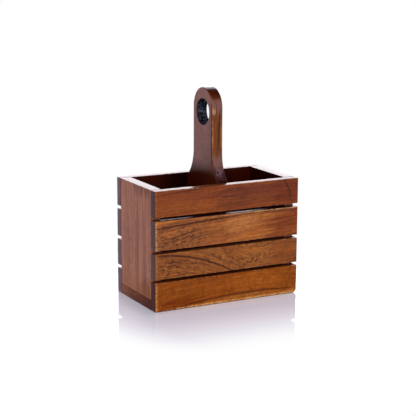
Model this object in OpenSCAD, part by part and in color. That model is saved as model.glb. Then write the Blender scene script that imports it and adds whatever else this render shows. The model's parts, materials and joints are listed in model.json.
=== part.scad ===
// Slatted wooden caddy: two open compartments either side of a middle board that rises
// through the box as a carrying handle with a round finger hole. Millimetres, +Z up.
// The origin is the middle of the underside. X runs along the slats, and -Y is the front.

/* [Box] */
// Length of the box along its slats
box_length = 172; // [140:1:240]
// Depth of the box over both rows of slats
box_depth = 94; // [84:1:140]
// Height of the box from its underside to its rim
box_height = 128; // [122:1:146]

/* [Boards] */
// Thickness of the slats
slat_thick = 10; // [7:0.5:12]
// Thickness of the two end panels
end_thick = 12; // [9:0.5:16]
// Thickness of the bottom board
bottom_thick = 11; // [8:0.5:14]
// Radius of the softened edges of slats, panels and bottom board
edge_radius = 0.6; // [0.4:0.1:1.6]
// Slack left for glue where one board meets another
glue_gap = 0.1; // [0.05:0.05:0.3]

/* [Slats] */
// Open gap between one slat and the next
slat_gap = 3.3; // [2:0.1:5]
// Width of the front slat at the rim
front_width_1 = 28; // [24:0.1:32]
// Width of the second front slat from the rim
front_width_2 = 31.7; // [24:0.1:34]
// Width of the third front slat from the rim
front_width_3 = 27.3; // [24:0.1:32]
// Width of the back slat at the rim
back_width_1 = 31.2; // [24:0.1:34]
// Width of the second back slat from the rim
back_width_2 = 30.2; // [24:0.1:32]
// Width of the third back slat from the rim
back_width_3 = 29.2; // [24:0.1:32]

/* [Handle] */
// Thickness of the middle board and its handle
handle_thick = 12.7; // [10:0.1:16]
// Width of the handle
handle_width = 43.5; // [40:0.5:50]
// Height of the handle's rounded top above the rim
handle_rise = 98; // [80:0.1:130]
// Radius of the hollow curve from the handle down to the rim
shoulder_radius = 42; // [34:0.5:52]
// Depth of the shoulder's lower tip below the rim
shoulder_drop = 3; // [0:0.5:8]
// Radius of the rounded edges of the handle
handle_edge_radius = 1.3; // [1:0.1:3]
// Radius of the finger hole
finger_hole_radius = 14.1; // [12:0.1:16]
// Distance from the top of the handle down to the middle of the finger hole
finger_hole_depth = 26.5; // [24:0.1:34]
// Radius of the softened rim of the finger hole
hole_edge_radius = 0.5; // [0.3:0.1:1.2]

/* [Brads] */
// Diameter of the headless steel brads
brad_diameter = 1.2; // [0.8:0.1:1.6]
// Length of the brads
brad_length = 22; // [16:1:28]
// Depth to which the brads are punched below the surface
brad_sink = 2; // [1:0.25:3]
// Diameter of the filler that closes the punched hole
filler_diameter = 1.8; // [1.7:0.1:2.6]
// Clearance round a brad or filler in its hole
brad_clearance = 0.05; // [0.02:0.01:0.1]
// Distance from a slat's edge to its brads
brad_inset = 7; // [5:0.5:9]
// Distance from the middle of the box to the brads driven up through the bottom board
bottom_brad_spread = 14; // [8:1:18]

/* [Hidden] */
$fn = 96;

FRONT = -1;
BACK = 1;
LEFT = -1;
RIGHT = 1;
// Overshoot that carries a cut clear of the surface it opens
over = 1;

// Half the depth between the two rows of slats
inner_y = box_depth / 2 - slat_thick;
// Half the depth of the boards that stand between the rows
panel_y = inner_y - glue_gap;
// Height at which the end panels and the middle board stand on the bottom board
floor_z = bottom_thick + glue_gap;
// Middle of the thickness of each end panel, measured from the middle of the box
end_x = box_length / 2 - end_thick / 2;

// The lowest slat of each row takes the height that the others and their gaps leave
front_widths = row_widths(front_width_1, front_width_2, front_width_3);
back_widths = row_widths(back_width_1, back_width_2, back_width_3);

// Arch of the handle: its radius, and the height of its centre
arch_radius = handle_width / 2;
handle_top = box_height + handle_rise;
arch_z = handle_top - arch_radius;
// The hollow shoulder curves are centred level with the lower end of the straight handle
shoulder_y = arch_radius + shoulder_radius;
shoulder_rise = sqrt(pow(shoulder_radius, 2) - pow(shoulder_y - panel_y, 2));
shoulder_z = box_height - shoulder_drop + shoulder_rise;
finger_hole_z = handle_top - finger_hole_depth;

brad_radius = brad_diameter / 2;
filler_radius = filler_diameter / 2;

function row_widths(first, second, third) =
    [first, second, third, box_height - first - second - third - 3 * slat_gap];

// Height of the top and lower edges of slat i of a row, counted from the rim
function slat_top(widths, i) =
    i == 0 ? box_height : slat_top(widths, i - 1) - widths[i - 1] - slat_gap;
function slat_foot(widths, i) = slat_top(widths, i) - widths[i];

// Heights of the two brads in each end of slat i: the lowest one bites the bottom board
function end_brad_heights(widths, i) = [
    slat_top(widths, i) - brad_inset,
    i == 3 ? bottom_thick / 2 : slat_foot(widths, i) + brad_inset
];
// Height of the single brad that holds slat i to the middle board
function middle_brad_height(widths, i) =
    (slat_top(widths, i) + max(slat_foot(widths, i), bottom_thick)) / 2;

// Each brad of a row is a pair of its place along the slat and its height
function end_brads(widths, i, side) =
    [for (z = end_brad_heights(widths, i)) [side * end_x, z]];
function slat_brads(widths, i) = concat(
    end_brads(widths, i, LEFT),
    end_brads(widths, i, RIGHT),
    [[0, middle_brad_height(widths, i)]]
);
function row_brads(widths) = [for (i = [0:3]) each slat_brads(widths, i)];
function brads_at(brads, x) = [for (b = brads) if (abs(b[0] - x) < end_thick) b];
function low_brads(brads) = [for (b = brads) if (b[1] < bottom_thick) b];

// Draws what follows on the plane of Y and Z, and thickens it along X
module across() {
    rotate([90, 0, 90]) children();
}

// Rectangle about the origin with rounded corners
module rounded_rectangle(size, radius) {
    square([size[0] - 2 * radius, size[1]], center = true);
    square([size[0], size[1] - 2 * radius], center = true);
    for (x = [-1, 1], y = [-1, 1])
        translate([x * (size[0] / 2 - radius), y * (size[1] / 2 - radius)]) circle(r = radius);
}

module rounded_prism(size, height, radius) {
    translate([0, 0, -height / 2]) linear_extrude(height) rounded_rectangle(size, radius);
}

// Board about the origin, with all its edges softened
module softened_board(size) {
    intersection() {
        rounded_prism([size[0], size[1]], size[2], edge_radius);
        rotate([90, 0, 0]) rounded_prism([size[0], size[2]], size[1], edge_radius);
        across() rounded_prism([size[1], size[2]], size[0], edge_radius);
    }
}

// Puts what follows at each brad of a row, pointing from the outer face into the box
module at_row_brads(side, brads) {
    for (b = brads)
        translate([b[0], side * box_depth / 2, b[1]]) rotate([side * 90, 0, 0]) children();
}

// Puts what follows at each brad that is driven up through the bottom board
module at_bottom_brads(places) {
    for (x = places, y = [-1, 1] * bottom_brad_spread) translate([x, y, 0]) children();
}

module brad() {
    translate([0, 0, brad_sink]) cylinder(r = brad_radius, h = brad_length);
}

module filler() {
    cylinder(r = filler_radius, h = brad_sink);
}

// Hole that a brad and its filler sit in
module brad_hole() {
    translate([0, 0, -over]) cylinder(r = filler_radius + brad_clearance, h = brad_sink + over);
    cylinder(r = brad_radius + brad_clearance, h = brad_sink + brad_length + brad_clearance);
}

// One slat of a row, bored for its own brads
module slat(side, widths, i) {
    middle_y = side * (box_depth / 2 - slat_thick / 2);
    middle_z = (slat_top(widths, i) + slat_foot(widths, i)) / 2;
    difference() {
        translate([0, middle_y, middle_z]) softened_board([box_length, slat_thick, widths[i]]);
        at_row_brads(side, slat_brads(widths, i)) brad_hole();
    }
}

module front_slat(i) {
    color([0.55, 0.30, 0.13]) slat(FRONT, front_widths, i);
}

module back_slat(i) {
    color([0.50, 0.28, 0.13]) slat(BACK, back_widths, i);
}

// Board that fills one end between the two rows, standing on the bottom board
module end_panel(side) {
    height = box_height - floor_z;
    difference() {
        translate([side * end_x, 0, floor_z + height / 2])
            softened_board([end_thick, 2 * panel_y, height]);
        at_row_brads(FRONT, brads_at(row_brads(front_widths), side * end_x)) brad_hole();
        at_row_brads(BACK, brads_at(row_brads(back_widths), side * end_x)) brad_hole();
        at_bottom_brads([side * end_x]) brad_hole();
    }
}

module left_end_panel() {
    color([0.42, 0.25, 0.19]) end_panel(LEFT);
}

module right_end_panel() {
    color([0.42, 0.25, 0.19]) end_panel(RIGHT);
}

module bottom_board() {
    color([0.33, 0.17, 0.10])
        difference() {
            translate([0, 0, bottom_thick / 2])
                softened_board([box_length, 2 * panel_y, bottom_thick]);
            at_row_brads(FRONT, low_brads(row_brads(front_widths))) brad_hole();
            at_row_brads(BACK, low_brads(row_brads(back_widths))) brad_hole();
            at_bottom_brads([-end_x, 0, end_x]) brad_hole();
        }
}

// Half of the section of a round plate with a rounded edge, from its axis outwards
module plate_section(radius) {
    half = handle_thick / 2;
    square_to([0, -half], [radius - handle_edge_radius, half]);
    square_to([0, -half + handle_edge_radius], [radius, half - handle_edge_radius]);
    for (side = [-1, 1])
        translate([radius - handle_edge_radius, side * (half - handle_edge_radius)])
            circle(r = handle_edge_radius);
}

module square_to(low, high) {
    translate(low) square([high[0] - low[0], high[1] - low[1]]);
}

// Round cut through the middle board that leaves a rounded edge on both faces
module rounding_cut(radius, edge) {
    half = handle_thick / 2;
    across() rotate_extrude() {
        square_to([0, -half - over], [radius, half + over]);
        for (side = [0, 1])
            mirror([0, side])
                difference() {
                    square_to([radius - over, half - edge], [radius + edge, half + over]);
                    translate([radius + edge, half - edge]) circle(r = edge);
                }
    }
}

// Middle board: a full-depth divider in the box, drawn in by two hollow shoulders to the handle
module divider_handle() {
    color([0.45, 0.24, 0.15])
        difference() {
            union() {
                translate([-handle_thick / 2, -panel_y, floor_z])
                    cube([handle_thick, 2 * panel_y, shoulder_z - floor_z]);
                translate([0, 0, shoulder_z])
                    linear_extrude(arch_z - shoulder_z)
                        rounded_rectangle([handle_thick, handle_width], handle_edge_radius);
                translate([0, 0, arch_z])
                    across() rotate_extrude(angle = 180) plate_section(arch_radius);
            }
            for (side = [-1, 1])
                translate([0, side * shoulder_y, shoulder_z])
                    rounding_cut(shoulder_radius, handle_edge_radius);
            translate([0, 0, finger_hole_z])
                rounding_cut(finger_hole_radius, hole_edge_radius);
            at_row_brads(FRONT, brads_at(row_brads(front_widths), 0)) brad_hole();
            at_row_brads(BACK, brads_at(row_brads(back_widths), 0)) brad_hole();
            at_bottom_brads([0]) brad_hole();
        }
}

module front_brads() {
    color([0.62, 0.62, 0.64]) at_row_brads(FRONT, row_brads(front_widths)) brad();
}

module back_brads() {
    color([0.62, 0.62, 0.64]) at_row_brads(BACK, row_brads(back_widths)) brad();
}

module bottom_brads() {
    color([0.62, 0.62, 0.64]) at_bottom_brads([-end_x, 0, end_x]) brad();
}

module front_fillers() {
    color([0.50, 0.27, 0.12]) at_row_brads(FRONT, row_brads(front_widths)) filler();
}

module back_fillers() {
    color([0.50, 0.27, 0.12]) at_row_brads(BACK, row_brads(back_widths)) filler();
}

module bottom_fillers() {
    color([0.50, 0.27, 0.12]) at_bottom_brads([-end_x, 0, end_x]) filler();
}

bottom_board();
left_end_panel();
right_end_panel();
front_slat(0);  // front_slat_1
front_slat(1);  // front_slat_2
front_slat(2);  // front_slat_3
front_slat(3);  // front_slat_4
back_slat(0);  // back_slat_1
back_slat(1);  // back_slat_2
back_slat(2);  // back_slat_3
back_slat(3);  // back_slat_4
divider_handle();
front_brads();
back_brads();
bottom_brads();
front_fillers();
back_fillers();
bottom_fillers();
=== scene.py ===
import json
import math

import bpy
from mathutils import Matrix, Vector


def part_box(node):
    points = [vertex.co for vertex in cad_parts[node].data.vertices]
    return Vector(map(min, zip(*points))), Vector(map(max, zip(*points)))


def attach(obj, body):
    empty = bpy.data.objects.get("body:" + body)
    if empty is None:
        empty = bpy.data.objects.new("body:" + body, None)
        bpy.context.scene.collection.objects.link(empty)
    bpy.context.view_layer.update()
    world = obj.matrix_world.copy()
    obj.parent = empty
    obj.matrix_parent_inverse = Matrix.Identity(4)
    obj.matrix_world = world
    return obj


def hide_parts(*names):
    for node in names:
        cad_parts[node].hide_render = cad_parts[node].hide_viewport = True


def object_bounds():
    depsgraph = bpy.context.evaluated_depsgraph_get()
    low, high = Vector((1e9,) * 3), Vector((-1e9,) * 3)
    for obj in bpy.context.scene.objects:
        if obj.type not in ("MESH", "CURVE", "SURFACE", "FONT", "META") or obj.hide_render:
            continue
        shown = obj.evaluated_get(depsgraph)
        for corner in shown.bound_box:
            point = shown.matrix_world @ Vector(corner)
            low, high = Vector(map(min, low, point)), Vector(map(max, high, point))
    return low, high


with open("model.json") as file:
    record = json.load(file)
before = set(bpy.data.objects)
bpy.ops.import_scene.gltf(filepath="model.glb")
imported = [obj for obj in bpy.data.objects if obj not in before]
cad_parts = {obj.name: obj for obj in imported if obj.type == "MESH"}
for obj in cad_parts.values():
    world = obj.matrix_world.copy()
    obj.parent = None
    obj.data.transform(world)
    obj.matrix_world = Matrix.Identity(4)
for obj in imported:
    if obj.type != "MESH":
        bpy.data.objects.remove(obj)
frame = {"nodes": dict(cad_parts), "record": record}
cad_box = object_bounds()

# ---- Bottom board ----
# A planed hardwood board that closes the box from below. The slats are nailed to its long edges,
# and its end grain shows as a dark band under each end panel.

MM = 0.001
ARRIS = 0.6 * MM
CRISP_ARRIS = 0.3 * MM
RUBBED_SHARE = 0.4
CELL = 5 * MM
PLANED_WAVE, PLANED_DIP = 45 * MM, 0.06 * MM
RUBBED_WAVE = 7 * MM
SHARP_TURN, SMOOTH_TURN = math.radians(60), math.radians(50)


def deselect():
    bpy.ops.object.select_all(action="DESELECT")


def pick(piece, wanted):
    """Opens a piece in edit mode with only those edges selected whose two ends pass a test."""
    mesh = piece.data
    if piece.mode == "EDIT":
        bpy.ops.object.mode_set(mode="OBJECT")
    for part in (mesh.vertices, mesh.edges, mesh.polygons):
        part.foreach_set("select", [False] * len(part))
    for edge in mesh.edges:
        edge.select = wanted(*(mesh.vertices[i].co for i in edge.vertices))
    bpy.context.tool_settings.mesh_select_mode = (False, True, False)
    bpy.ops.object.mode_set(mode="EDIT")


def apply_modifier(piece, kind, **settings):
    """Adds a modifier with its settings to a piece, and applies it."""
    modifier = piece.modifiers.new(kind.lower(), kind)
    for key, value in settings.items():
        setattr(modifier, key, value)
    bpy.ops.object.modifier_apply(modifier=modifier.name)


def clouds(name, size, depth=2):
    """A soft pattern by which a Displace modifier pushes a surface inwards."""
    pattern = bpy.data.textures.new(name, "CLOUDS")
    pattern.noise_scale = size
    pattern.noise_depth = depth
    return pattern


def round_arrises(piece, radius, wear):
    """Rounds all the sharp edges of a piece, wears them down unevenly, and smooths the faces."""
    bpy.ops.object.mode_set(mode="EDIT")
    bpy.context.tool_settings.mesh_select_mode = (False, True, False)
    bpy.ops.mesh.select_all(action="DESELECT")
    bpy.ops.mesh.edges_select_sharp(sharpness=SHARP_TURN)
    bpy.ops.mesh.bevel(offset=radius, segments=3, profile=0.5)
    bpy.ops.object.vertex_group_add()
    bpy.ops.object.vertex_group_assign()
    bpy.ops.object.mode_set(mode="OBJECT")
    apply_modifier(piece, "DISPLACE", texture=clouds(piece.name + " planing", PLANED_WAVE),
                   texture_coords="LOCAL", strength=PLANED_DIP, mid_level=1)
    apply_modifier(piece, "DISPLACE", texture=clouds(piece.name + " rubbing", RUBBED_WAVE, 3),
                   texture_coords="LOCAL", vertex_group=piece.vertex_groups[0].name,
                   strength=wear, mid_level=0.9)
    bpy.ops.object.shade_smooth_by_angle(angle=SMOOTH_TURN)
    apply_modifier(piece, "WEIGHTED_NORMAL", mode="FACE_AREA", keep_sharp=True)


def planed_board(name, node, arris=ARRIS, knock=0.0):
    """A board at its node's place: a block cut into cells, its arrises rounded and worn. A knock
    is the radius that rounds off its low right corner."""
    low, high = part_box(node)
    deselect()
    bpy.ops.mesh.primitive_cube_add(size=1, location=(low + high) / 2)
    piece = bpy.context.object
    piece.name = name
    piece.scale = high - low
    bpy.ops.object.transform_apply(location=True, rotation=True, scale=True)
    if knock:
        pick(piece, lambda a, b: min(a.x, b.x) > high.x - MM and max(a.z, b.z) < low.z + MM)
        bpy.ops.mesh.bevel(offset=knock, segments=5, profile=0.5)
    for axis in range(3):
        cuts = int((high - low)[axis] / CELL)
        pick(piece, lambda a, b: abs((a - b)[axis]) > CELL)
        bpy.ops.mesh.subdivide(number_cuts=cuts)
    bpy.ops.object.mode_set(mode="OBJECT")
    round_arrises(piece, arris, RUBBED_SHARE * arris)
    return piece


class Field:
    """A value that varies over a surface: one output socket of a finish's nodes."""

    def __init__(self, finish, socket):
        self.finish = finish
        self.socket = socket

    def math(self, operation, *values):
        return self.finish.node("Math", {"operation": operation}, dict(enumerate(values)))

    def __add__(self, other):
        return self.math("ADD", self, other)

    def __sub__(self, other):
        return self.math("SUBTRACT", self, other)

    def __rsub__(self, other):
        return self.math("SUBTRACT", other, self)

    def __mul__(self, other):
        return self.math("MULTIPLY", self, other)

    def __truediv__(self, other):
        return self.math("DIVIDE", self, other)

    def __pow__(self, other):
        return self.math("POWER", self, other)

    def __abs__(self):
        return self.math("ABSOLUTE", self)

    def __gt__(self, other):
        return self.math("GREATER_THAN", self, other)

    def __lt__(self, other):
        return self.math("LESS_THAN", self, other)

    __radd__ = __add__
    __rmul__ = __mul__

    def least(self, other):
        return self.math("MINIMUM", self, other)

    def most(self, other):
        return self.math("MAXIMUM", self, other)

    def rise(self, low, high):
        """0 below low, 1 above high, and smooth between."""
        return self.finish.node("MapRange", {"interpolation_type": "SMOOTHSTEP"},
                                {"Value": self, "From Min": low, "From Max": high})

    def fall(self, low, high):
        """1 below low, 0 above high, and smooth between."""
        return 1 - self.rise(low, high)

    def span(self, start, full, fade, end):
        """1 from full to fade, 0 outside start and end, and smooth between."""
        return self.rise(start, full) * self.fall(fade, end)


class Finish:
    """The nodes of one finish, built on a new material or world."""

    def __init__(self, owner):
        self.owner = owner
        owner.use_nodes = True
        self.tree = owner.node_tree
        self.tree.nodes.clear()

    def node(self, kind, settings=None, inputs=None, output=0):
        made = self.tree.nodes.new("ShaderNode" + kind)
        for key, value in (settings or {}).items():
            setattr(made, key, value)
        for key, value in (inputs or {}).items():
            if isinstance(value, Field):
                self.tree.links.new(value.socket, made.inputs[key])
            else:
                made.inputs[key].default_value = value
        return Field(self, made.outputs[output]) if made.outputs else None

    def parts(self, vector, scale=1.0):
        """The three parts of a vector, each times a scale."""
        split = self.node("SeparateXYZ", inputs={0: vector}).socket.node
        return [Field(self, split.outputs[i]) * scale for i in range(3)]

    def place(self):
        """The three coordinates of a point of the surface, in millimetres."""
        return self.parts(self.node("TexCoord", output="Object"), 1 / MM)

    def noise(self, x, y, z, detail=2, roughness=0.5):
        """A soft noise from 0 to 1. The smaller the share of a coordinate, the longer it draws
        the noise out that way."""
        point = self.node("CombineXYZ", inputs={0: x, 1: y, 2: z})
        return self.node("TexNoise", {"noise_dimensions": "3D"},
                         {"Vector": point, "Scale": 1, "Detail": detail, "Roughness": roughness})

    def mix(self, first, second, factor):
        """Two colours mixed by a factor."""
        return self.node("Mix", {"data_type": "RGBA", "clamp_result": True},
                         {0: factor, 6: first, 7: second}, output=2)

    def close(self, shader, output="OutputMaterial"):
        self.node(output, inputs={"Surface": shader})
        return self.owner


def rgb(red, green, blue):
    return (red, green, blue, 1)


def darker(colour, share):
    """A share of a colour's light."""
    return rgb(*(part * share for part in colour[:3]))


# Which of x, y and z run along the grain, across it and through the board
GRAIN_ALONG = {"X": (0, 2, 1), "Z": (2, 1, 0), "XY": (0, 1, 2)}
# The width and sway of the growth rings, and the tones that all the boards share
RING = 3.0
RING_SWAY = 14
PALE_WOOD = rgb(0.70, 0.40, 0.19)
PLAIN_END = rgb(0.040, 0.007, 0.009)
# Painted shade for the faces out of sight in the box: near black, and lighter low down
HOLLOW, HOLLOW_FOOT = rgb(0.027, 0.0025, 0.0), rgb(0.075, 0.014, 0.004)
HOLLOW_FOOT_Z = (84, 100)


def wood(name, node, grain, dark, middle, light, seed, pith=(0, 40), lean=None, contrast=3.0,
         ripple=0.3, flecks=(), veins=(), patches=(), glints=(), wear=0.3, gilt=None, gilded=0.8,
         broken=0.5, end_grain=PLAIN_END, shine=0.5, inside=None, dull=0.0, special=None,
         coat=None):
    """Lacquered hardwood, its figure in millimetres along and across the grain from the middle
    of the board. The rings lie round a pith beside and behind the face, and lean bends the grain.
    Patches and flecks are ovals: their middle, their reach both ways, a patch's tint, and how
    strong they are. Gilt is the tone of the worn left end of the face, gilded is its strength,
    and broken is how far it comes and goes. Inside says which faces lie out of sight and are
    painted with the shade of the box, and dull how much rougher they are. A coat is where the
    lacquer has gathered, and special draws what one board alone has."""
    finish = Finish(bpy.data.materials.new(name))
    place = finish.place()
    low, high = (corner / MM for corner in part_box(node))
    order = GRAIN_ALONG[grain]
    along, across, through = (place[i] - (low[i] + high[i]) / 2 for i in order)
    half = [(high[i] - low[i]) / 2 for i in order]
    flow = across - lean(along, across) if lean else across

    # Growth rings, wide streaks and fine fibre, all drawn out along the flow of the grain
    sway = (finish.noise(along * 0.012 + seed, flow * 0.03, through * 0.03) - 0.5) * RING_SWAY
    aside = flow - pith[0] + sway
    behind = through - pith[1] + sway * 0.4
    radius = (aside * aside + behind * behind) ** 0.5
    rings = finish.node("TexNoise", {"noise_dimensions": "1D"},
                        {"W": radius / RING + seed * 7, "Scale": 1, "Detail": 3,
                         "Roughness": 0.6})
    streak = finish.noise(along * 0.02 + seed, flow * 0.45, through * 0.45, detail=3)
    blotch = finish.noise(along * 0.02, flow * 0.07 + seed, through * 0.07, detail=3)
    fibre = finish.noise(along * 0.07 + seed, flow * 0.85, through * 0.85, detail=3,
                         roughness=0.6)
    tone = (rings * 0.3 + streak * 0.3 + blotch * 0.3 + fibre * 0.42 - 0.66) * contrast + 0.5
    colour = finish.mix(dark, middle, tone.rise(0.0, 0.5))
    colour = finish.mix(colour, light, tone.rise(0.5, 1.0))

    # Wide patches, mostly where the stain took lighter or darker, and soft ripples across the
    # grain
    for u, v, reach_u, reach_v, tint, strength in patches:
        away = ((along - u) / reach_u) ** 2 + ((flow - v) / reach_v) ** 2
        ragged = away + (streak - 0.5) * 2 + (blotch - 0.5) * 2
        colour = finish.mix(colour, finish.mix(darker(tint, 0.6), tint, tone.rise(0.1, 0.7)),
                            ragged.fall(0.0, 1.4) * strength)
    curl = finish.noise(along * 0.2 + seed, across * 0.12 - along * 0.06, seed, detail=2)
    colour = finish.mix(colour, darker(dark, 0.8), curl.fall(0.3, 0.6) * ripple)

    # Pores: fine dark dashes along the grain, and coarse flecks in a few places
    dash = finish.noise(along * 0.25 + seed, flow * 1.3, through * 1.3, detail=2)
    pores = dash.rise(0.55, 0.68) * 0.5
    coarse = finish.noise(along * 0.30 + seed, flow * 1.5, through * 0.5, detail=3,
                          roughness=0.6)
    for u, v, reach_u, reach_v, strength in flecks:
        away = ((along - u) / reach_u) ** 2 + ((across - v) / reach_v) ** 2
        spread = (away + (blotch - 0.5) * 3).fall(0.4, 1.4) * strength
        colour = finish.mix(colour, light, coarse.fall(0.38, 0.47) * spread * 0.6)
        pores = pores.most(coarse.rise(0.5, 0.62) * spread)
    colour = finish.mix(colour, darker(dark, 0.6), pores)

    # Single dark veins and bright glints, each a soft line on the face
    wobble = (finish.noise(along * 0.06, across * 0.1, seed) - 0.5) * 2
    chips = finish.noise(place[0] * 0.35, place[1] * 0.35, place[2] * 0.35 + seed, detail=3)
    for draw in veins:
        colour = finish.mix(colour, darker(dark, 0.4), draw(along, across, wobble))
    for draw in glints:
        colour = finish.mix(colour, PALE_WOOD, draw(along, across, wobble) * chips.rise(0.3, 0.6))

    # Worn arrises show the paler wood under the stain
    near = [half[i] - abs(axis) for i, axis in enumerate((along, across, through))]
    second = near[0].least(near[1]).most(near[0].most(near[1]).least(near[2]))
    rubbed = second.fall(0.2, 1.0) * chips.rise(0.5, 0.65) * wear
    colour = finish.mix(colour, PALE_WOOD, rubbed)
    if gilt:
        gaps = finish.noise(seed, across * 0.5, through * 0.3, detail=3).rise(0.4, 0.6)
        ticks = finish.noise(along * 0.4 + seed, across * 1.7, through * 0.5).rise(0.45, 0.6)
        band = (along + half[0] - gaps).fall(0.8, 2.8) * near[0].rise(0.1, 0.6) * gilded
        colour = finish.mix(colour, gilt, band * (gaps * broken + 1 - broken) * (1 - ticks * 0.6))

    # End grain drinks the stain and goes dark
    end = near[0].fall(0.3, 0.6)
    colour = finish.mix(colour, finish.mix(end_grain, darker(end_grain, 0.5), tone), end)
    gloss = finish.noise(along * 0.1, across * 0.3, through * 0.3 + seed, detail=3)
    roughness = gloss * 0.1 + 0.2 + rubbed * 0.15
    # Faces out of sight in the box are painted with its shade, and made rougher
    if inside:
        hidden_shade = inside(place)
        hollow = finish.mix(HOLLOW, HOLLOW_FOOT, place[2].fall(*HOLLOW_FOOT_Z))
        colour = finish.mix(colour, hollow, hidden_shade)
        roughness = roughness + hidden_shade * dull
    if special:
        colour = special(finish, place, colour, chips)
    relief = finish.node("Bump", inputs={"Strength": 0.12, "Distance": 0.2 * MM,
                                         "Height": fibre * 0.5 - pores * 0.8})
    shader = finish.node("BsdfPrincipled", inputs={
        "Base Color": colour, "Roughness": roughness, "Normal": relief, "IOR": 1.25,
        "Specular IOR Level": shine, "Coat Roughness": 0.2,
        "Coat Weight": coat(place) if coat else 0})
    return finish.close(shader)


def dress(piece, material, node):
    """Gives a piece its finish, and lets it stand for its node in the frame."""
    piece.data.materials.clear()
    piece.data.materials.append(material)
    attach(piece, "root")
    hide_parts(node)


# The outer faces of both ends, and the top of the bottom board
end_x = cad_box[1][0] / MM
floor_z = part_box("bottom_board")[1].z / MM
END_FLOOR_SHADE, PALE_END = rgb(0.045, 0.006, 0.001), rgb(0.22, 0.085, 0.048)


def shaded_ends(finish, place, colour, chips):
    """Painted shade on the board's ends, darker towards the front, and paler towards the back."""
    end = (abs(place[0])).rise(end_x - 1, end_x - 0.4)
    colour = finish.mix(colour, END_FLOOR_SHADE, place[1].fall(-34, 14) * end * 0.8)
    return finish.mix(colour, PALE_END, place[1].rise(8, 34) * end * 0.5)


bottom_board = planed_board("bottom_board_wood", "bottom_board", arris=CRISP_ARRIS)
dress(bottom_board,
      wood("bottom board wood", "bottom_board", "XY", rgb(0.05, 0.014, 0.006),
           rgb(0.14, 0.036, 0.012), rgb(0.20, 0.055, 0.016), seed=3.1, pith=(30, 60),
           end_grain=rgb(0.17, 0.044, 0.016), shine=0.1,
           # Painted shade on the board's foot, darker towards the floor, and on its top face in
           # the box
           inside=lambda place: (place[2].fall(1, 7) * 0.6).most(
               place[2].rise(floor_z - 0.3, floor_z)), special=shaded_ends),
      "bottom_board")

# ---- End panels ----
# Two boards that close the ends of the box, grain upright, standing on the bottom board between
# the rows of slats. Stained a muted red-brown outside, and painted dark inside as the box's shade.

# Two corners of the right panel: the low one inside, and the one at the rim outside
panel_low, panel_high = (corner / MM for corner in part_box("right_end_panel"))
PANEL_STREAK, PANEL_PALE = rgb(0.15, 0.042, 0.026), rgb(0.40, 0.158, 0.062)
PANEL_GOLDEN, PANEL_JOINT = rgb(0.23, 0.060, 0.006), rgb(0.085, 0.035, 0.035)
PANEL_INSIDE_SHADE = rgb(0.010, 0.0005, 0.0)


def streaked(finish, place, colour, chips):
    """Upright streaks of uneven stain, a golden tinge low down, and dark joints at the slats."""
    x, y, z = place
    outer = (abs(x)).rise(panel_high.x - 1.1, panel_high.x - 0.4)
    streak = finish.noise(x * 0.1, y * 0.30, z * 0.012, detail=3, roughness=0.65)
    colour = finish.mix(colour, PANEL_STREAK, streak.rise(0.50, 0.64) * outer * 0.4)
    colour = finish.mix(colour, PANEL_PALE, streak.fall(0.40, 0.51) * outer * 0.4)
    golden = z.fall(12, 40) * (chips * 0.4 + 0.25) * outer
    colour = finish.mix(colour, PANEL_GOLDEN, golden)
    joint = (abs(y)).rise(panel_high.y - 1.3, panel_high.y - 0.3)
    joint = joint * outer * z.fall(panel_high.z - 2, panel_high.z - 1)
    colour = finish.mix(colour, PANEL_JOINT, joint * 0.6)
    # Painted shade on the inner face of the panel
    inner = (abs(x)).fall(panel_low.x + 0.4, panel_low.x + 1.2)
    return finish.mix(colour, PANEL_INSIDE_SHADE, inner * 0.6)


def faint_vein(along, across, wobble):
    """A faint upright vein a little to one side of a panel's middle."""
    return (abs(across + 6 + wobble * 2)).fall(0, 5) * 0.2


for side, seed, pith in (("left", 11.7, (18, -55)), ("right", 17.3, (-25, 60))):
    node = side + "_end_panel"
    panel = planed_board(node + "_wood", node, arris=CRISP_ARRIS)
    low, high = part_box(node)
    inner_x = (high.x if side == "left" else low.x) / MM
    dress(panel,
          wood(node + " wood", node, "Z", rgb(0.175, 0.061, 0.044), rgb(0.260, 0.097, 0.056),
               rgb(0.345, 0.134, 0.066), seed=seed, pith=pith, contrast=2.5,
               lean=lambda along, across: along * 0.02,
               patches=((-44, 14, 14, 14, rgb(0.36, 0.14, 0.05), 0.25),
                        (58, -20, 14, 26, rgb(0.10, 0.028, 0.012), 0.85),
                        # The dark patch low at the front is painted shade near the floor
                        (-60, -30, 18, 30, rgb(0.14, 0.024, 0.003), 0.95)),
               veins=(faint_vein,), wear=0.15, end_grain=rgb(0.13, 0.050, 0.030), shine=0.25,
               special=streaked,
               coat=lambda place: place[2].rise(panel_high.z - 0.6, panel_high.z - 0.1) * 0.22,
               # Painted shade on the inner face, inside the box
               inside=lambda place: (abs(place[0] - inner_x)).fall(0.4, 0.9)),
          node)

# ---- Middle board and handle ----
# One upright board: the divider in the box, drawn in by two hollow shoulders to the handle. The
# finger hole is bored through and stained black. Nailed through both rows and the bottom.

HANDLE_WIDTH = 43.5 * MM
HANDLE_ARRIS = 1.2 * MM
HANDLE_WEAR = 0.3 * MM
SHOULDER_RADIUS = 42 * MM
SHOULDER_DROP = 3 * MM
HOLE_EDGE = 0.5 * MM
HOLE_POINTS = 64
BORDER = 2 * MM
STRAIGHT_STEPS, SHOULDER_STEPS, FOOT_STEPS = 6, 12, 14

low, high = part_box("divider_handle")
face_x, half_depth, half_thick = low.x, high.y, high.x
arch_radius = HANDLE_WIDTH / 2
arch_z = high.z - arch_radius
shoulder_y = arch_radius + SHOULDER_RADIUS
shoulder_end = math.acos((shoulder_y - half_depth) / SHOULDER_RADIUS)
shoulder_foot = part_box("front_slat_1")[1].z - SHOULDER_DROP
shoulder_z = shoulder_foot + SHOULDER_RADIUS * math.sin(shoulder_end)
hole = next(m for m in frame["record"]["mounts"] if m["name"] == "finger_hole")
hole_radius = hole["dims"]["r_mm"] * MM
hole_y, hole_z = hole["pos_m"][1:]
tiny = 0.01 * MM

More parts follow.
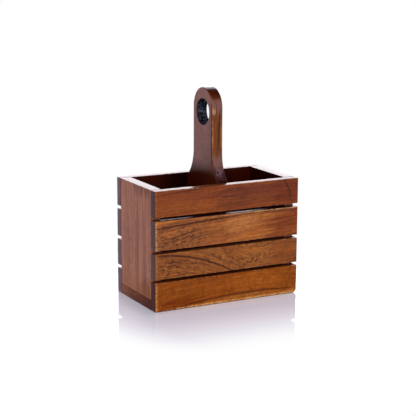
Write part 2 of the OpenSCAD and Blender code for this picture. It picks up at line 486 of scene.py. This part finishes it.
# The face is drawn out from the rim of the finger hole: up to the arch, and down row by row
deselect()
bpy.ops.mesh.primitive_circle_add(vertices=HOLE_POINTS, radius=hole_radius,
                                  location=(face_x, hole_y, hole_z),
                                  rotation=(0, math.radians(90), 0))
handle = bpy.context.object
handle.name = "divider_handle_wood"
bpy.ops.object.transform_apply(location=True, rotation=True, scale=True)
pick(handle, lambda a, b: True)
bpy.ops.mesh.extrude_edges_move()
grow = (arch_radius - BORDER) / hole_radius
bpy.ops.transform.resize(value=(1, grow, grow), center_override=(face_x, hole_y, hole_z))
bpy.ops.transform.translate(value=(0, -hole_y, arch_z - hole_z))


def on_ring(v):
    """Whether a vertex lies on the ring just inside the arch."""
    return abs(math.hypot(v.y, v.z - arch_z) - arch_radius + BORDER) < tiny


pick(handle, lambda a, b: on_ring(a) and on_ring(b) and min(a.z, b.z) > arch_z - tiny)
bpy.ops.mesh.extrude_edges_move()
grow = arch_radius / (arch_radius - BORDER)
bpy.ops.transform.resize(value=(1, grow, grow), center_override=(face_x, 0, arch_z))
straight_z = arch_z - arch_radius - BORDER
pick(handle, lambda a, b: on_ring(a) and on_ring(b) and max(a.z, b.z) < arch_z + tiny)
bpy.ops.mesh.extrude_edges_move()
bpy.ops.transform.resize(value=(1, 1, 0), center_override=(face_x, 0, straight_z))
pick(handle, lambda a, b: min(abs(a.y), abs(b.y)) > arch_radius - BORDER - tiny
     and max(abs(a.z - arch_z), abs(b.z - arch_z)) < tiny)
bpy.ops.mesh.extrude_edges_move()
bpy.ops.transform.translate(value=(0, 0, straight_z - arch_z))
bpy.ops.mesh.select_all(action="SELECT")
bpy.ops.mesh.remove_doubles(threshold=tiny)

# Rows down the straight neck, round the hollow shoulders and down the divider to its foot
rows = [(arch_radius, straight_z + (shoulder_z - straight_z) * i / STRAIGHT_STEPS)
        for i in range(1, STRAIGHT_STEPS + 1)]
rows += [(shoulder_y - SHOULDER_RADIUS * math.cos(shoulder_end * i / SHOULDER_STEPS),
          shoulder_z - SHOULDER_RADIUS * math.sin(shoulder_end * i / SHOULDER_STEPS))
         for i in range(1, SHOULDER_STEPS + 1)]
foot_top = rows[-1][1]
rows += [(half_depth, foot_top + (low.z - foot_top) * i / FOOT_STEPS)
         for i in range(1, FOOT_STEPS + 1)]
width, level = arch_radius, straight_z
pick(handle, lambda a, b: max(a.z, b.z) < straight_z + tiny)
for next_width, next_level in rows:
    bpy.ops.mesh.extrude_edges_move()
    bpy.ops.transform.translate(value=(0, 0, next_level - level))
    bpy.ops.transform.resize(value=(1, next_width / width, 1),
                             center_override=(face_x, 0, next_level))
    width, level = next_width, next_level

# The face is drawn out to the board's thickness, and the rim of the finger hole is softened
bpy.ops.mesh.select_all(action="SELECT")
bpy.ops.mesh.extrude_region_move(TRANSFORM_OT_translate={"value": (2 * half_thick, 0, 0)})
bpy.ops.mesh.select_all(action="SELECT")
bpy.ops.mesh.normals_make_consistent(inside=False)
bpy.ops.object.mode_set(mode="OBJECT")
pick(handle, lambda a, b: max(math.hypot(v.y - hole_y, v.z - hole_z) for v in (a, b))
     < hole_radius + tiny and abs(a.x - b.x) < tiny)
bpy.ops.mesh.bevel(offset=HOLE_EDGE, segments=3, profile=0.5)
bpy.ops.object.mode_set(mode="OBJECT")
round_arrises(handle, HANDLE_ARRIS, HANDLE_WEAR)

# Colours of the narrow edge from the arch down, each with its height and its reach
ARCH_STAIN = rgb(0.047, 0.006, 0.0)
# Most of the edge's colours are stain, but the mauve bands at 214.5, 153 and 140 are painted
# reflections, and the dark bands at 134.5 and 130 are painted shade down towards the rim
EDGE_STAIN_AND_LIGHT = ((218, 4, rgb(0.080, 0.014, 0.001)), (214.5, 2, rgb(0.15, 0.062, 0.050)),
               (199.5, 3.5, rgb(0.138, 0.041, 0.012)), (153, 8, rgb(0.15, 0.066, 0.056)),
               (140, 4, rgb(0.115, 0.055, 0.068)), (134.5, 2.5, rgb(0.050, 0.015, 0.016)),
               (130, 2, rgb(0.010, 0.002, 0.001)))
ARCH_SHADE, ARCH_GLEAM = rgb(0.016, 0.002, 0.001), rgb(0.60, 0.50, 0.56)
EDGE_FIBRE, EDGE_BLOTCH = rgb(0.020, 0.004, 0.003), rgb(0.012, 0.005, 0.008)
EDGE_POOL, EDGE_STRIPE = rgb(0.035, 0.008, 0.004), rgb(0.030, 0.008, 0.006)
GOLDEN, KNOT = rgb(0.30, 0.108, 0.022), rgb(0.37, 0.17, 0.09)
FACE_SHADE, FACE_ARRIS = rgb(0.045, 0.010, 0.003), rgb(0.070, 0.008, 0.0)
BORE_BLACK, BORE_SHEEN = rgb(0.0, 0.0, 0.001), rgb(0.050, 0.047, 0.075)
top_z = high.z / MM


def handle_looks(finish, place, colour, chips):
    """The narrow edge's stain and painted light, the worn arrises and the blackened finger hole.
    """
    x, y, z = place
    # How far a point lies inside the outline and the faces of the board
    arch = arch_radius / MM
    above = z - arch_z / MM
    in_arch, in_shoulder = z > arch_z / MM, z < shoulder_z / MM
    round_top = arch - (y ** 2 + above ** 2) ** 0.5
    to_centre = ((abs(y) - shoulder_y / MM) ** 2 + (z - shoulder_z / MM) ** 2) ** 0.5
    hollow = to_centre - SHOULDER_RADIUS / MM
    outline = (round_top * in_arch + hollow * in_shoulder
               + (arch - abs(y)) * (1 - in_arch) * (1 - in_shoulder))
    from_face = half_thick / MM - abs(x)
    narrow = outline.fall(0.3, 0.8)
    straight = z.span(145, 165, 198, 206)
    # The edge's stain and painted light change down its length; the stain pools along its arrises
    edge = ARCH_STAIN
    for level, reach, tint in EDGE_STAIN_AND_LIGHT:
        edge = finish.mix(edge, tint, z.fall(level - reach, level + reach))
    edge = finish.mix(edge, ARCH_SHADE, x.rise(-3, 6) * z.rise(top_z - 10, top_z - 5) * 0.6)
    edge = finish.mix(edge, ARCH_GLEAM, z.rise(top_z - 2.4, top_z - 0.6) * 0.5)
    fibre = finish.noise(x * 0.8, y * 0.3, z * 0.07, detail=3)
    edge = finish.mix(edge, EDGE_FIBRE, fibre.rise(0.45, 0.7) * 0.45)
    # Darker blotches low on the narrow edge, above the rim
    low_blotch = finish.noise(x * 0.35, y * 0.2, z * 0.22 + 9.0, detail=3)
    edge = finish.mix(edge, EDGE_BLOTCH, low_blotch.rise(0.47, 0.6) * z.fall(136, 146) * 0.8)
    pool = from_face.fall(0.6, 2.2) * (x < 0) * z.fall(142, 152)
    edge = finish.mix(edge, EDGE_POOL, pool * 0.7)
    # A dark stripe slants down past the middle, and the arrises and one knot are worn golden
    stripe = (abs(x - 0.8 - (z - 163) * 0.055)).fall(0.4, 1.5) * z.span(152, 172, 196, 205)
    edge = finish.mix(edge, EDGE_STRIPE, stripe * 0.75)
    golden = (abs(abs(x + 0.5) - 5.3)).fall(0.3, 1.5) * (chips.rise(0.35, 0.6) * 0.4 + 0.5)
    golden = golden * straight * (z.span(160, 168, 182, 190) * 0.6 + 0.4)
    arris = (abs(x + 5.8)).fall(0.3, 1.2) * z.span(200, 206, 216, 222) * 0.2
    knot = (abs(z - 201.6)).fall(1.2, 4.2) * (abs(x + 4.4)).fall(1.0, 2.8) * 0.85
    edge = finish.mix(edge, GOLDEN, golden.most(arris))
    edge = finish.mix(edge, KNOT, knot)
    # The face darkens towards its near arris and down into the box
    near = y + arch
    beside = near.fall(1.6, 3.8) * z.span(132, 150, 213, 220)
    low_shade = near.fall(2, 30) * z.fall(150, 172) * 0.38
    shaded = low_shade.most(near.fall(1, 13) * z.span(140, 155, 205, 214) * 0.34)
    colour = finish.mix(colour, FACE_SHADE, shaded * 0.85)
    crown = outline.fall(1.0, 2.4) * (y < 0) * z.rise(208, 216) * 0.7
    colour = finish.mix(colour, FACE_ARRIS, beside.most(crown) * 0.92)
    colour = finish.mix(colour, edge, narrow)
    # Paler wood on the rubbed arrises; the finger hole is stained black, with a painted sheen
    worn = outline.most(from_face).fall(0.3, 1.3) * chips.rise(0.5, 0.65) * 0.3
    colour = finish.mix(colour, PALE_WOOD, worn * (z > 150) * (z < 212))
    reach = ((y - hole_y / MM) ** 2 + (z - hole_z / MM) ** 2) ** 0.5
    black = reach.fall(hole_radius / MM + 0.1, hole_radius / MM + 0.5)
    sheen = finish.noise(x * 0.35, y * 0.75, z * 0.75, detail=3, roughness=0.6)
    bore = finish.mix(BORE_BLACK, BORE_SHEEN, sheen.rise(0.47, 0.66))
    return finish.mix(colour, bore, black)


dress(handle,
      wood("handle wood", "divider_handle", "Z", rgb(0.125, 0.058, 0.050),
           rgb(0.190, 0.085, 0.072), rgb(0.245, 0.109, 0.083), seed=23.9, pith=(-8, 40),
           contrast=2.2, wear=0.0, shine=0.25, special=handle_looks,
           # Painted shade: the face darkens from above the rim down into the box
           inside=lambda place: place[2].fall(panel_high.z + 3, panel_high.z + 22),
           coat=lambda place: place[2].rise(top_z - 2.5, top_z - 0.8) * 0.8),
      "divider_handle")

# ---- Front slats ----
# Four planed boards of unlike widths, grain lengthways, nailed over the end panels with narrow
# open gaps. Each is cut from another plank, and the arrises have worn through to pale wood.

GOLD = rgb(0.34, 0.11, 0.018)
UMBER = rgb(0.11, 0.023, 0.010)
LIP = 0.4
DEEP_LIP = 2.4
KNOCK = 4 * MM


def out_of_sight(node, rim=False, lip=LIP):
    """The faces of a slat painted with the shade of the box: its inner face, and its edges behind
    a lip, but not the top edge of a slat at the rim."""
    low, high = (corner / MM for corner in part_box(node))
    outer = max(low.y, high.y, key=abs)
    thick = high.y - low.y

    def inside(place):
        deep = abs(place[1] - outer)
        edge = place[2] - low.z
        if not rim:
            edge = edge.least(high.z - place[2])
        return deep.rise(thick - 0.9, thick - 0.4).most(
            edge.fall(0.2, 0.5) * deep.rise(lip, lip + 0.8))

    return inside


def line(u0, v0, run, lift, power=1.0, width=0.8, strength=0.7, until=200.0):
    """A vein that starts at u0, v0, lifts by a power of the way along its run, and fades out
    where it has gone as far as until."""

    def draw(along, across, wobble):
        way = ((along - u0) / run).most(0)
        off = abs(across - v0 - way ** power * lift + wobble * 0.6)
        faded = (along - u0).rise(-6, 6) * (along - u0 - until).fall(-10, 10)
        return off.fall(width * 0.3, width * 1.4) * faded * strength

    return draw


def front_slat(number, knock=0.0, lip=LIP, **looks):
    """One slat of the front row, counted from the rim down."""
    node = f"front_slat_{number}"
    slat = planed_board(node + "_wood", node, knock=knock)
    # Its faces out of sight are painted with the shade of the box
    dark = out_of_sight(node, rim=number == 1, lip=lip)
    dress(slat, wood(node + " wood", node, "X", inside=dark, **looks), node)


GAP_GLINT_PAINT, GAP_ARRIS_SHADE = rgb(0.96, 0.92, 0.96), rgb(0.050, 0.012, 0.005)


def gap_shade_and_glints(finish, place, colour, chips):
    """The second slat's top edge: painted shade at the front arris, two painted glints behind."""
    x = place[0]
    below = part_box("front_slat_2")[1].z / MM - place[2]
    behind = place[1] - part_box("front_slat_2")[0].y / MM
    ragged = behind + (chips - 0.5) * 3 + x.rise(-4, 0) * 1.2
    edge = below.fall(0.1, 0.4) * ragged.rise(3.2, 4.2) * behind.fall(5.4, 6.4)
    stretches = (x.span(-80, -76, -46, -38) * 0.7).most(x.span(-2, 3, 28, 54))
    arris = below.fall(0.3, 0.9) * ragged.fall(1.8, 2.8)
    arris = arris * x.rise(-82, -76) * (1 - x.rise(-2, 30) * 0.6)
    # Painted shade along the front arris, in the gap
    colour = finish.mix(colour, GAP_ARRIS_SHADE, arris * 0.85)
    # Two painted glints on the top edge behind it
    return finish.mix(colour, GAP_GLINT_PAINT, edge * stretches * (chips.rise(0.3, 0.6) * 0.4 + 0.6))


FOOT_GOLD, FOOT_GLINT, FOOT_CONTACT_SHADE = (rgb(0.50, 0.20, 0.045), rgb(0.66, 0.36, 0.13),
                                    rgb(0.050, 0.012, 0.004))


def worn_and_shaded_foot(finish, place, colour, chips):
    """The lowest slat's foot: golden along its lower edge, and painted shade at its very foot."""
    x, z = place[0], place[2]
    foot = z.fall(2.0, 3.8) * x.rise(-58, -36) * (chips * 0.5 + 0.2)
    corner = x.rise(68, 82) * z.fall(2, 8) * 0.5
    colour = finish.mix(colour, FOOT_GOLD, foot.most(corner))
    lit = (abs(z - 1.5)).fall(0.3, 0.9) * x.rise(-80, -60) * chips.rise(0.4, 0.55)
    colour = finish.mix(colour, FOOT_GLINT, lit * 0.6)
    # Painted shade along the very foot, where the slat meets the floor
    return finish.mix(colour, FOOT_CONTACT_SHADE, z.fall(0.4, 1.1) * 0.75)


def cross_vein(along, across, wobble):
    """The vein that drops across the right end of the top slat."""
    way = ((13.5 - across) / 18.5).most(0)
    return (abs(along - 67 - way * (2 - way) * 8.7)).fall(0.4, 2.3) * across.rise(-10, -4) * 0.6


def arched(along, across):
    """The bend of the lowest slat's grain, highest a little to the right of its middle."""
    return (along - 25) ** 2 * -0.00088


def low_vein(along, across, wobble):
    """The long arched vein of the lowest slat."""
    off = abs(across + 7.0 - arched(along, across) + wobble * 0.6)
    return off.fall(0.2, 1.0) * along.rise(-70, -40) * 0.8


def fanned(along, across):
    """The second slat's grain climbs to the right, and fans out at its left end."""
    return along * 0.05 + (across - 10) * (-20 - along).most(0) * 0.006


def swept(along, across):
    """The third slat's grain sweeps down to the right, ever more steeply."""
    return ((along + 83) / 92).most(0).least(1.1) ** 1.9 * -27.5


def top_glint(along, across, wobble):
    """The second slat's upper arris, where it catches the light."""
    return (15.8 - across).fall(0.6, 1.6) * along.rise(-12, 5) * 0.6


front_slat(1, dark=rgb(0.074, 0.016, 0.005), middle=rgb(0.175, 0.036, 0.006),
           light=rgb(0.26, 0.060, 0.009), seed=31.3, pith=(60, 30), gilded=0.7,
           gilt=rgb(0.28, 0.080, 0.016), lean=lambda along, across: along * 0.03, ripple=0.15,
           contrast=2.3, dull=0.6, end_grain=rgb(0.042, 0.006, 0.008),
           patches=((-48, -6, 48, 12, rgb(0.25, 0.060, 0.008), 0.85),
                    (22, 4, 66, 6, UMBER, 0.6),
                    (24, -5, 40, 5, rgb(0.155, 0.036, 0.007), 0.65),
                    (40, -11, 36, 4, rgb(0.22, 0.045, 0.006), 0.7),
                    (80, 2, 26, 16, rgb(0.15, 0.024, 0.003), 0.7)),
           veins=(line(-86, 9, 50, 3.2, strength=0.55, until=60), cross_vein,
                  line(-5, 1.7, 20, -0.9, width=0.9, strength=0.6, until=16)))
front_slat(2, dark=rgb(0.085, 0.023, 0.007), middle=rgb(0.245, 0.070, 0.013),
           light=rgb(0.42, 0.138, 0.026), seed=37.1, pith=(-30, 45), broken=0.8,
           gilt=rgb(0.42, 0.21, 0.10), gilded=1.0, ripple=0.15, contrast=3.2,
           end_grain=rgb(0.058, 0.016, 0.008), lean=fanned,
           patches=((-62, -2, 38, 18, rgb(0.185, 0.058, 0.019), 0.75),
                    (-20, -9, 24, 7, rgb(0.26, 0.070, 0.015), 0.7),
                    (30, -6, 26, 10, rgb(0.40, 0.110, 0.017), 0.6),
                    (16, 3, 24, 9, rgb(0.49, 0.172, 0.046), 0.65),
                    (78, -4, 33, 26, rgb(0.19, 0.036, 0.003), 0.9),
                    (66, 11, 28, 5, UMBER, 0.5)),
           flecks=((-60, -4, 36, 12, 0.85), (-14, 11, 18, 4, 0.7), (30, -4, 60, 10, 0.12)),
           veins=(line(-86, 7.2, 160, 8.5, power=0.8, width=1.1, strength=0.8, until=82),
                  line(-86, 7.2, 160, 8.5, power=0.8, width=0.6, strength=0.4),
                  line(-76, -4.6, 36, 6.6, power=1.35, width=0.8, strength=0.7, until=42)),
           glints=(top_glint,), special=gap_shade_and_glints)
front_slat(3, lip=DEEP_LIP, dark=rgb(0.070, 0.019, 0.005), middle=rgb(0.205, 0.058, 0.010),
           light=rgb(0.34, 0.106, 0.017), seed=41.9, pith=(8, 40), broken=0.6,
           gilt=rgb(0.30, 0.12, 0.045), contrast=3.2, dull=0.6,
           end_grain=rgb(0.068, 0.014, 0.004), lean=swept,
           patches=((-8, 20, 24, 12, rgb(0.34, 0.115, 0.020), 0.5),
                    (34, 33, 26, 12, rgb(0.38, 0.124, 0.020), 0.6),
                    (76, 33, 28, 20, rgb(0.24, 0.058, 0.006), 0.75)),
           flecks=((-58, -4, 36, 10, 1.0), (24, -5, 38, 8, 1.0), (30, 11, 36, 5, 1.0),
                   (-12, 4, 16, 7, 0.9)),
           veins=(line(-83, 11.8, 92, -27.5, power=1.9, width=1.1, strength=0.9),))
front_slat(4, lip=DEEP_LIP, knock=KNOCK, dark=rgb(0.110, 0.025, 0.007),
           middle=rgb(0.218, 0.052, 0.006), light=rgb(0.340, 0.094, 0.010), seed=47.7,
           pith=(-70, 35), gilt=rgb(0.46, 0.19, 0.060), broken=0.2, contrast=2.3, dull=0.6,
           shine=0.1, end_grain=rgb(0.062, 0.016, 0.012), lean=arched,
           patches=((20, -12.0, 100, 4.0, GOLD, 0.9),
                    (34, 4, 40, 10, rgb(0.37, 0.100, 0.012), 0.6),
                    (-60, -6, 34, 8, rgb(0.17, 0.030, 0.001), 0.6)),
           flecks=((30, -12, 60, 4, 0.6),), veins=(low_vein,), special=worn_and_shaded_foot)

# ---- Back slats ----
# Four more slats across the back, again of unlike widths, nailed like the front ones. Their
# notches show past the left end, and their inner faces show in the box, painted dark as shade.

INNER_SHADE_PAINT = rgb(0.003, 0.0004, 0.0002)


def shaded_inside(finish, place, colour, chips):
    """Painted shade on the inner faces, darker towards the middle board in the left compartment.
    """
    x = place[0]
    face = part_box("back_slat_1")[0].y / MM
    way = x.rise(-54, -10) * (x < 0)
    inner = (place[1] - face).fall(0.4, 1.0)
    return finish.mix(colour, INNER_SHADE_PAINT, inner * way * 0.93)


for number, seed, pith, flecked, tint in (
        (1, 53.3, (40, 30), 30, rgb(0.27, 0.066, 0.010)),
        (2, 59.9, (-20, 50), -50, rgb(0.42, 0.138, 0.026)),
        (3, 61.1, (10, 38), 10, rgb(0.25, 0.070, 0.011)),
        (4, 67.7, (-60, 30), 60, rgb(0.36, 0.100, 0.012))):
    node = f"back_slat_{number}"
    slat = planed_board(node + "_wood", node)
    dress(slat,
          wood(node + " wood", node, "X", rgb(0.085, 0.022, 0.006), rgb(0.20, 0.054, 0.010),
               rgb(0.30, 0.088, 0.015), seed=seed, pith=pith,
               lean=lambda along, across: along * 0.04, flecks=((flecked, 0, 34, 9, 0.7),),
               patches=((-flecked, 2, 75, 16, tint, 0.8),),
               end_grain=rgb(0.12, 0.058, 0.064), special=shaded_inside,
               inside=out_of_sight(node, rim=number == 1)),
          node)

# ---- Brads and filler ----
# Headless steel brads that hold the boards together, punched below the surface, and over each
# a plug of hard wax, tinted to its board. Both keep the shape that they have in the frame.

STEEL, RUST = rgb(0.5, 0.5, 0.52), rgb(0.2, 0.12, 0.08)
SMEAR = rgb(0.09, 0.026, 0.012)

steel = Finish(bpy.data.materials.new("drawn steel wire"))
x, y, z = steel.place()
rust = steel.noise(x * 2, y * 2, z * 2, detail=4)
steel.close(steel.node("BsdfPrincipled", inputs={
    "Base Color": steel.mix(STEEL, RUST, rust.rise(0.5, 0.7)),
    "Roughness": rust * 0.3 + 0.2, "Metallic": 1.0}))


def tinted_wax(name, row, tints):
    """Wax plugs, each tinted to the board that it lies in: tints run from the rim down."""
    finish = Finish(bpy.data.materials.new(name))
    x, y, z = finish.place()
    colour = tints[0]
    for number, tint in enumerate(tints[1:], start=2):
        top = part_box(f"{row}_slat_{number}")[1].z / MM
        colour = finish.mix(colour, tint, z.fall(top, top + 1))
    smear = finish.noise(x * 1.5, y * 1.5, z * 1.5, detail=3)
    colour = finish.mix(colour, SMEAR, smear.rise(0.4, 0.8) * 0.4)
    return finish.close(finish.node("BsdfPrincipled", inputs={
        "Base Color": colour, "Roughness": smear * 0.2 + 0.6, "IOR": 1.25,
        "Specular IOR Level": 0.1}))


front_wax = tinted_wax("front wax filler", "front",
                       (rgb(0.17, 0.045, 0.018), rgb(0.26, 0.080, 0.022),
                        rgb(0.21, 0.065, 0.020), rgb(0.26, 0.066, 0.010)))
back_wax = tinted_wax("back wax filler", "back", (rgb(0.21, 0.064, 0.019),))
for node, material in (("front_brads", steel.owner), ("back_brads", steel.owner),
                       ("bottom_brads", steel.owner), ("front_fillers", front_wax),
                       ("back_fillers", back_wax), ("bottom_fillers", back_wax)):
    slots = frame["nodes"][node].data.materials
    slots.clear()
    slots.append(material)

# ---- Floor, light and camera ----
# A glossy white table in a plain white studio: soft light from the front and the left, and a
# white wall behind. Round the box the table fades into the white of the studio.

FLOOR_SIZE = 16
AIM_HEIGHT = 0.1
FADE_FROM, FADE_TO = 15, 150
CLEAR_FROM, CLEAR_TO = -8, 15
WHITE = rgb(1, 1, 1)
TABLE_TOP = rgb(0.84, 0.88, 1.0)
# Near the box the camera sees a dimmer lilac glow: a painted shadow halo
HALO_SHADE_GLOW, FAR_GLOW = rgb(0.93, 0.86, 1.0), rgb(0.72, 0.71, 0.88)
AIR, WALLS, CEILING = rgb(0.92, 0.95, 1.0), rgb(0.80, 0.79, 0.88), rgb(0.08, 0.08, 0.09)


def rays(finish):
    """Where the camera looks straight at a surface, and where it sees it in a gloss or through."""
    path = [finish.node("LightPath", output=f"Is {kind} Ray")
            for kind in ("Camera", "Glossy", "Transmission")]
    return path[0], path[0].most(path[1]).most(path[2])


deselect()
bpy.ops.mesh.primitive_plane_add(size=FLOOR_SIZE, location=(0, 0, 0))
floor = bpy.context.object
floor.name = "floor"
table = Finish(bpy.data.materials.new("glossy white table"))
straight, seen = rays(table)
x, y = table.place()[:2]
beside = (abs(x) - cad_box[1][0] / MM).most(0)
before = (abs(y) - cad_box[1][1] / MM).most(0)
away = (((beside * 1.8) ** 2 + before ** 2) ** 0.5).rise(FADE_FROM, FADE_TO)
clear = (((beside * 0.6) ** 2 + before ** 2) ** 0.5).rise(CLEAR_FROM, CLEAR_TO)
lit = table.node("BsdfPrincipled", inputs={
    "Base Color": TABLE_TOP, "Roughness": 0.06, "IOR": 1.6, "Coat Weight": 1.0,
    "Coat Roughness": 0.05})
glow = table.node("Emission", inputs={
    "Color": table.mix(FAR_GLOW, table.mix(HALO_SHADE_GLOW, WHITE, away), straight), "Strength": 1})
floor.data.materials.append(table.close(
    table.node("MixShader", inputs={0: (away * 0.75 + clear * 0.25) * seen, 1: lit, 2: glow})))

# The studio: pale air on the object, a white backdrop all round, and a dark ceiling in gloss
studio = Finish(bpy.data.worlds.new("white studio"))
straight, seen = rays(studio)
height = studio.parts(studio.node("TexCoord", output="Generated"))[2]
reflected = studio.mix(WALLS, CEILING, height.rise(0.65, 0.9))
air = studio.node("Background", inputs={"Color": AIR, "Strength": 0.4})
backdrop = studio.node("Background", inputs={
    "Color": studio.mix(reflected, WHITE, straight), "Strength": 1})
bpy.context.scene.world = studio.close(
    studio.node("MixShader", inputs={0: seen, 1: air, 2: backdrop}), "OutputWorld")


def softbox(name, place, width, height, power, colour):
    """A soft lamp that faces the middle of the box."""
    lamp = bpy.data.lights.new(name, "AREA")
    lamp.shape = "RECTANGLE"
    lamp.size = width
    lamp.size_y = height
    lamp.energy = power
    lamp.color = colour
    box = bpy.data.objects.new(name, lamp)
    bpy.context.scene.collection.objects.link(box)
    box.location = place
    aim = [-place[0], -place[1], AIM_HEIGHT - place[2]]
    flat = math.hypot(aim[0], aim[1])
    box.rotation_euler = (math.atan2(flat, -aim[2]), 0, math.atan2(aim[1], aim[0]) - math.pi / 2)
    box.visible_camera = False


softbox("front softbox", (-0.75, -1.7, 0.75), 1.2, 1.0, 30, (1, 0.98, 0.95))
softbox("left softbox", (-1.7, -0.3, 0.6), 0.8, 0.8, 9, (0.95, 0.97, 1))
softbox("right wall", (0.95, -1.75, 0.35), 0.9, 0.5, 3, (0.97, 0.97, 1))
softbox("wall behind", (0.95, 1.85, 0.5), 1.6, 0.8, 11, (1, 0.94, 0.98))

# The camera stands where the photo was taken from. Its lens is known in the photo's pixels.
SENSOR_WIDTH = 36
PHOTO_WIDTH, FOCAL_PIXELS = 416, 1256.8
scene = bpy.context.scene
scene.view_settings.view_transform = "Standard"
camera = bpy.data.objects.new("camera", bpy.data.cameras.new("camera"))
scene.collection.objects.link(camera)
scene.camera = camera
camera.location = (-0.63194, -1.17291, 0.38023)
camera.rotation_euler = [math.radians(turn) for turn in (77.872, -0.313, -28.275)]
camera.data.sensor_width = SENSOR_WIDTH
camera.data.lens = SENSOR_WIDTH * FOCAL_PIXELS / PHOTO_WIDTH
